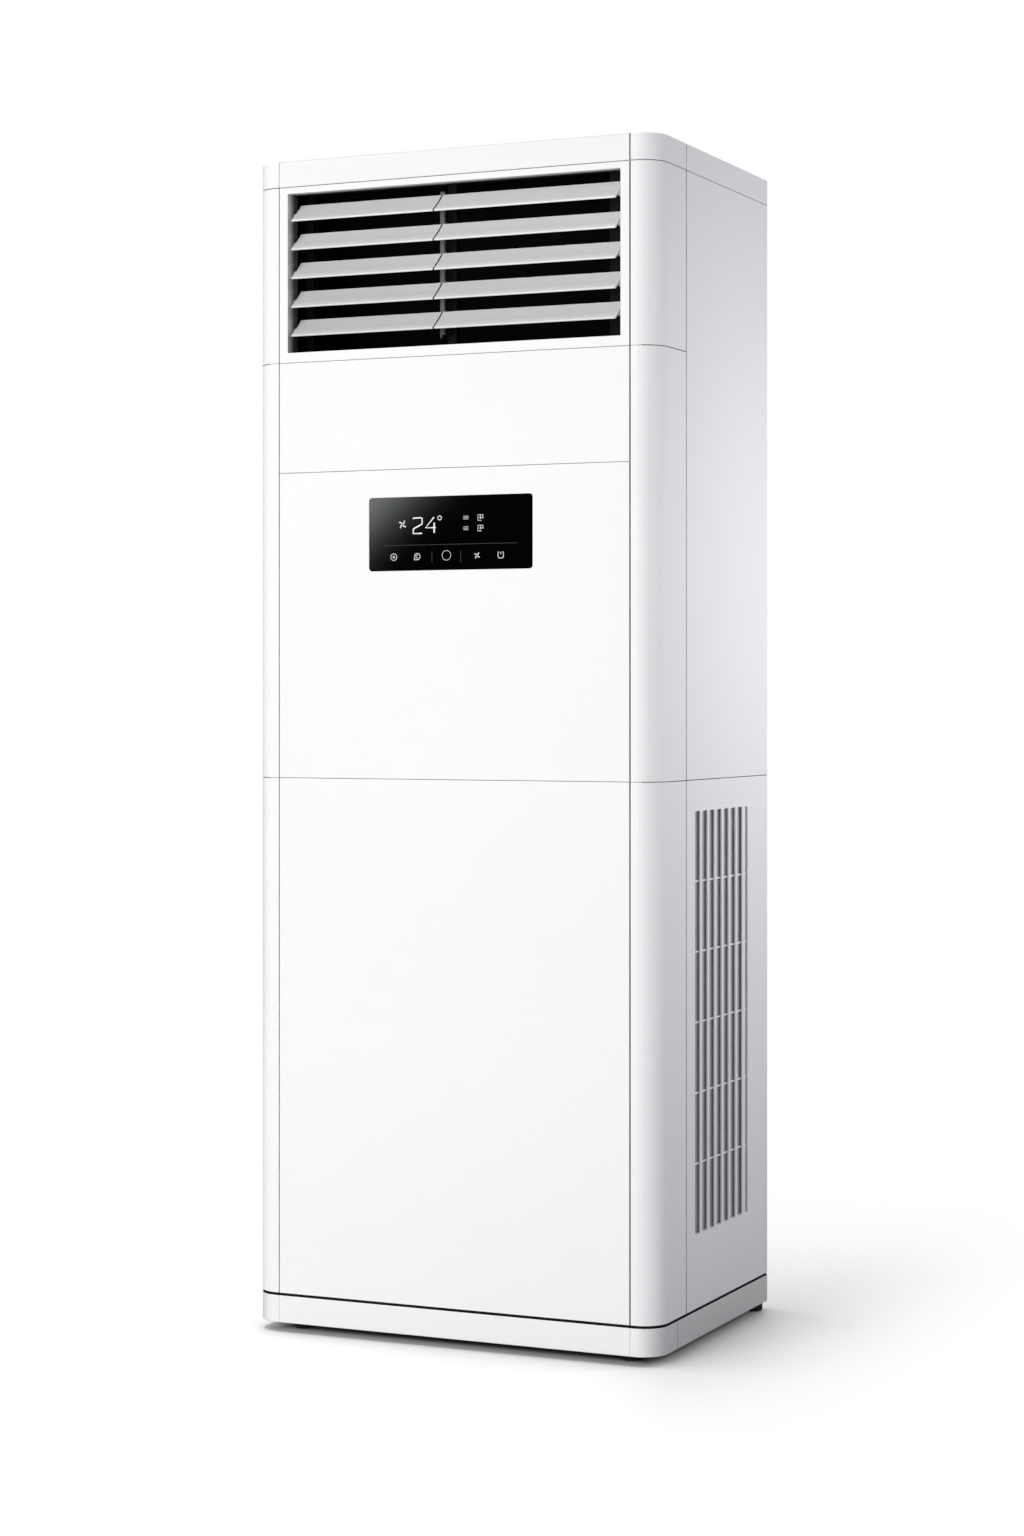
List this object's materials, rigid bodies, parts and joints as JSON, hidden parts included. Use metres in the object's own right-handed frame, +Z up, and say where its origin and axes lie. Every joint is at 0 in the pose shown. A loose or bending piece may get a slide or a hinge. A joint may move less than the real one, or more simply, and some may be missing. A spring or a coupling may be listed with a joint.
{
  "type": "floor standing air conditioner",
  "caption": "Tall floor-standing air conditioner cabinet with tilting outlet louvers at the top, a dark display on the front and slotted side intakes.",
  "frame": {"origin": "middle of the footprint on the floor", "axes": "+Z up, the front with the outlet and the display faces -Y, +X is to the right of someone who looks at the front"},
  "size_m": [0.654, 0.464, 1.75],
  "materials": {
    "shell_white": "satin gloss",
    "louver_white": "satin",
    "link_grey": "satin",
    "strut_grey": "matte",
    "duct_black": "matte",
    "glass_black": "gloss",
    "filter_grey": "matte",
    "pan_black": "matte",
    "foot_rubber": "matte"
  },
  "bodies": {
    "cabinet": {"base_pan": "pan_black", "base_skirt_front": "shell_white", "base_corner_left": "shell_white", "base_corner_right": "shell_white", "base_skirt_rear": "shell_white", "foot_front_left": "foot_rubber", "foot_front_right": "foot_rubber", "foot_rear_left": "foot_rubber", "foot_rear_right": "foot_rubber", "lower_front_panel": "shell_white", "control_panel": "shell_white", "display_glass": "glass_black", "fascia_panel": "shell_white", "outlet_frame": "shell_white", "discharge_duct": "duct_black", "outlet_strut_left": "strut_grey", "outlet_strut_centre": "strut_grey", "outlet_strut_right": "strut_grey", "corner_post_lower_left": "shell_white", "corner_post_lower_right": "shell_white", "corner_post_middle_left": "shell_white", "corner_post_middle_right": "shell_white", "corner_post_upper_left": "shell_white", "corner_post_upper_right": "shell_white", "side_panel_lower_left": "shell_white", "side_panel_lower_right": "shell_white", "side_panel_upper_left": "shell_white", "side_panel_upper_right": "shell_white", "intake_ribs_left": "shell_white", "intake_ribs_right": "shell_white", "intake_filter_left": "filter_grey", "intake_filter_right": "filter_grey", "rear_panel_lower": "shell_white", "rear_panel_upper": "shell_white", "top_cover": "shell_white", "top_trim_front": "shell_white", "top_corner_left": "shell_white", "top_corner_right": "shell_white", "top_trim_rear": "shell_white"},
    "louver_1": {"louver_1": "louver_white"},
    "louver_2": {"louver_2": "louver_white"},
    "louver_3": {"louver_3": "louver_white"},
    "louver_4": {"louver_4": "louver_white"},
    "louver_5": {"louver_5": "louver_white"},
    "louver_link": {"louver_link": "link_grey"}
  },
  "joints": [
    {"name": "louver_1_tilt", "type": "hinge", "parent": "cabinet", "child": "louver_1", "pos_m": [0, -0.2098, 1.67], "axis": [1, 0, 0], "range_deg": [-41, 19]},
    {"name": "louver_2_tilt", "type": "hinge", "parent": "cabinet", "child": "louver_2", "pos_m": [0, -0.2098, 1.627], "axis": [1, 0, 0], "range_deg": [-41, 19]},
    {"name": "louver_3_tilt", "type": "hinge", "parent": "cabinet", "child": "louver_3", "pos_m": [0, -0.2098, 1.584], "axis": [1, 0, 0], "range_deg": [-41, 19]},
    {"name": "louver_4_tilt", "type": "hinge", "parent": "cabinet", "child": "louver_4", "pos_m": [0, -0.2098, 1.541], "axis": [1, 0, 0], "range_deg": [-41, 19]},
    {"name": "louver_5_tilt", "type": "hinge", "parent": "cabinet", "child": "louver_5", "pos_m": [0, -0.2098, 1.498], "axis": [1, 0, 0], "range_deg": [-41, 19]},
    {"name": "louver_link_pin", "type": "hinge", "parent": "louver_1", "child": "louver_link", "pos_m": [-0.0349, -0.18208, 1.6888], "axis": [1, 0, 0], "range_deg": [-19, 41]}
  ],
  "couplings": [
    {"joint": "louver_2_tilt", "follows": "louver_1_tilt", "ratio": 1},
    {"joint": "louver_3_tilt", "follows": "louver_1_tilt", "ratio": 1},
    {"joint": "louver_4_tilt", "follows": "louver_1_tilt", "ratio": 1},
    {"joint": "louver_5_tilt", "follows": "louver_1_tilt", "ratio": 1},
    {"joint": "louver_link_pin", "follows": "louver_1_tilt", "ratio": -1}
  ]
}
